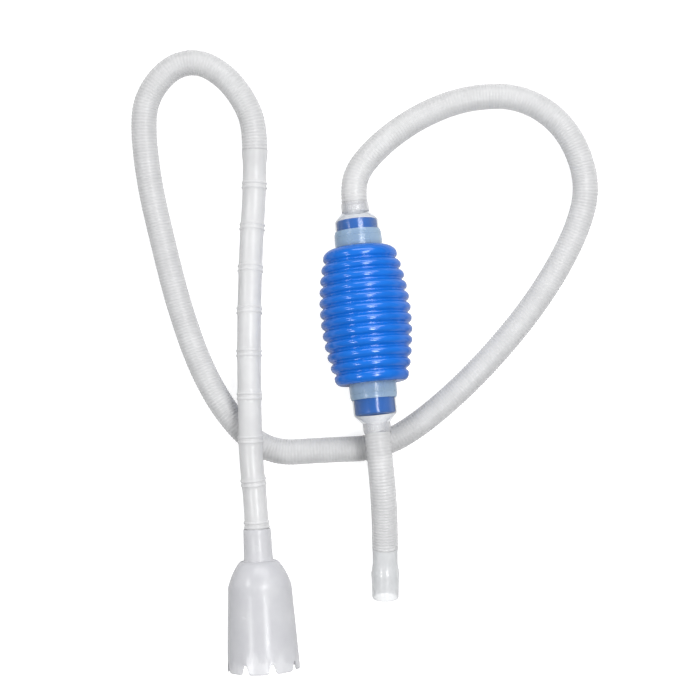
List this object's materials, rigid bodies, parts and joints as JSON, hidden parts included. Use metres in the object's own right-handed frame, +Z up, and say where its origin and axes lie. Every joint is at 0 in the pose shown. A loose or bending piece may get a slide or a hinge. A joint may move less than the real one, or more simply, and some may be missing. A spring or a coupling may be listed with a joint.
{
  "type": "gravel vacuum siphon",
  "caption": "Hand-pumped aquarium siphon with a blue bellows bulb between two one-way flap valves, a looped corrugated hose, a ringed tube and a notched gravel bell.",
  "frame": {"origin": "on the table, under the middle of the box round the pump, its discharge hose and the bell, measured without the loose hose", "axes": "+Z up from the table, +Y from the bell's mouth towards the bulb's inlet, +X to the right"},
  "size_m": [0.3278, 0.4324, 0.0639],
  "materials": {
    "blue_plastic": "glossy polyethylene",
    "deep_blue_plastic": "glossy polyethylene",
    "frosted_plastic": "frosted translucent",
    "clear_plastic": "clear gloss",
    "clear_hose": "translucent soft gloss",
    "ringed_tube": "translucent soft gloss",
    "milky_plastic": "milky translucent",
    "flap_rubber": "matte",
    "pin_steel": "bright"
  },
  "bodies": {
    "inlet_side": {"bellows": "blue_plastic", "inlet_collar": "frosted_plastic", "inlet_reducer": "clear_plastic", "inlet_valve_seat": "deep_blue_plastic", "inlet_flap_pin": "pin_steel", "inlet_hose_cuff": "clear_hose", "suction_hose": "clear_hose", "suction_tube": "ringed_tube"},
    "outlet_side": {"outlet_collar": "frosted_plastic", "outlet_reducer": "clear_plastic", "outlet_valve_seat": "deep_blue_plastic", "outlet_flap_pin": "pin_steel", "outlet_hose_cuff": "clear_hose", "outlet_hose": "clear_hose", "outlet_end_cuff": "clear_hose"},
    "inlet_flap": {"inlet_valve_flap": "flap_rubber"},
    "outlet_flap": {"outlet_valve_flap": "flap_rubber"},
    "bell": {"gravel_nozzle": "milky_plastic"}
  },
  "joints": [
    {"name": "bulb_squeeze", "type": "slide", "parent": "inlet_side", "child": "outlet_side", "axis": [-0.0977, 0.9914, -0.0872], "range_m": [0, 0.03], "stiffness_N_per_m": 600, "deforming": ["bellows"]},
    {"name": "inlet_flap_swing", "type": "hinge", "parent": "inlet_side", "child": "inlet_flap", "pos_m": [0.02562, 0.14508, 0.03598], "axis": [-0.9952, -0.0981, 0], "range_deg": [0, 45]},
    {"name": "outlet_flap_swing", "type": "hinge", "parent": "outlet_side", "child": "outlet_flap", "pos_m": [0.03734, 0.02618, 0.04643], "axis": [-0.9952, -0.0981, 0], "range_deg": [0, 45]},
    {"name": "bell_pull", "type": "slide", "parent": "inlet_side", "child": "bell", "axis": [0.0483, -0.9987, -0.014], "range_m": [0, 0.02]}
  ]
}
